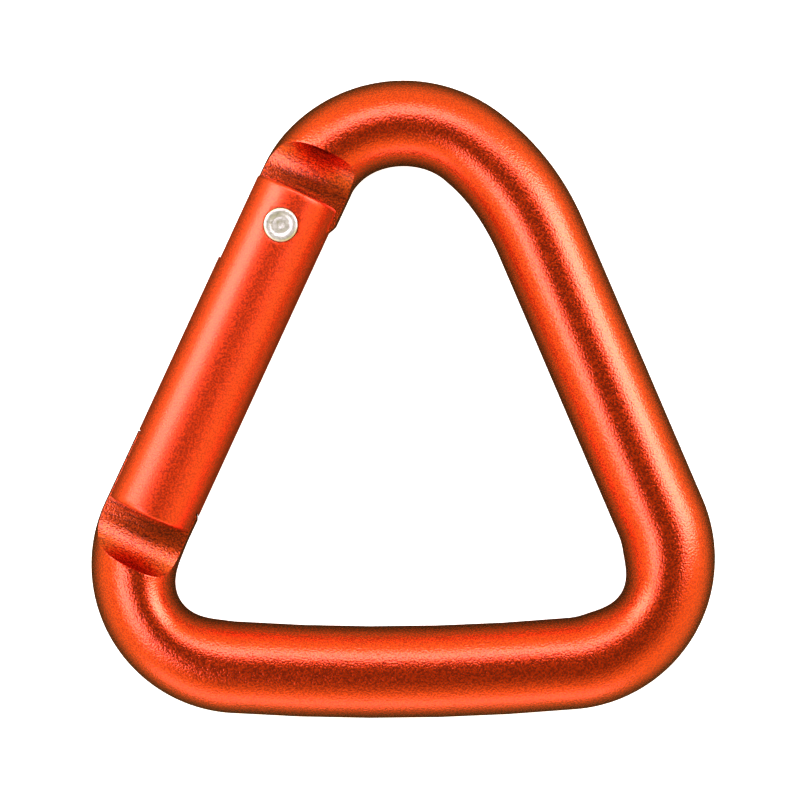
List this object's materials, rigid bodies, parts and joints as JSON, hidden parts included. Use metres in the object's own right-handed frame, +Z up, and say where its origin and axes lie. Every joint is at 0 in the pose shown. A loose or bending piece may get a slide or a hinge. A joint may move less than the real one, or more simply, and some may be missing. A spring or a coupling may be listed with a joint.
{
  "type": "snap hook",
  "caption": "Triangular snap hook bent from round rod, with a straight sprung gate on one side, riveted at its top end and slotted over a flat nose tongue.",
  "frame": {"origin": "under the middle of the whole hook, on the plane that its lower rivet head touches", "axes": "+Z up through the thickness of the hook lying flat, +Y from the base bar to the narrow crown, +X from the gate to the opposite bar"},
  "size_m": [0.0544, 0.0556, 0.0082],
  "materials": {
    "anodised_aluminium": "etched and dyed orange, satin gloss",
    "rivet_aluminium": "bare, spun head",
    "turned_steel": "turned",
    "spring_steel": "drawn wire"
  },
  "bodies": {
    "frame": {"body": "anodised_aluminium"},
    "gate_arm": {"gate": "anodised_aluminium", "hinge_rivet": "rivet_aluminium", "return_spring": "spring_steel"},
    "follower": {"plunger": "turned_steel"}
  },
  "joints": [
    {"name": "gate_hinge", "type": "hinge", "parent": "frame", "child": "gate_arm", "pos_m": [-0.01057, 0.01502, 0.0041], "axis": [0, 0, 1], "range_deg": [0, 45], "stiffness_Nm_per_rad": 0.06, "springref_deg": -28.65},
    {"name": "plunger_slide", "type": "slide", "parent": "gate_arm", "child": "follower", "axis": [-0.419, -0.908, 0], "range_m": [0, 0.0011], "deforming": ["return_spring"]}
  ],
  "couplings": [
    {"joint": "plunger_slide", "follows": "gate_hinge", "m_per_rad": 0.0013}
  ]
}
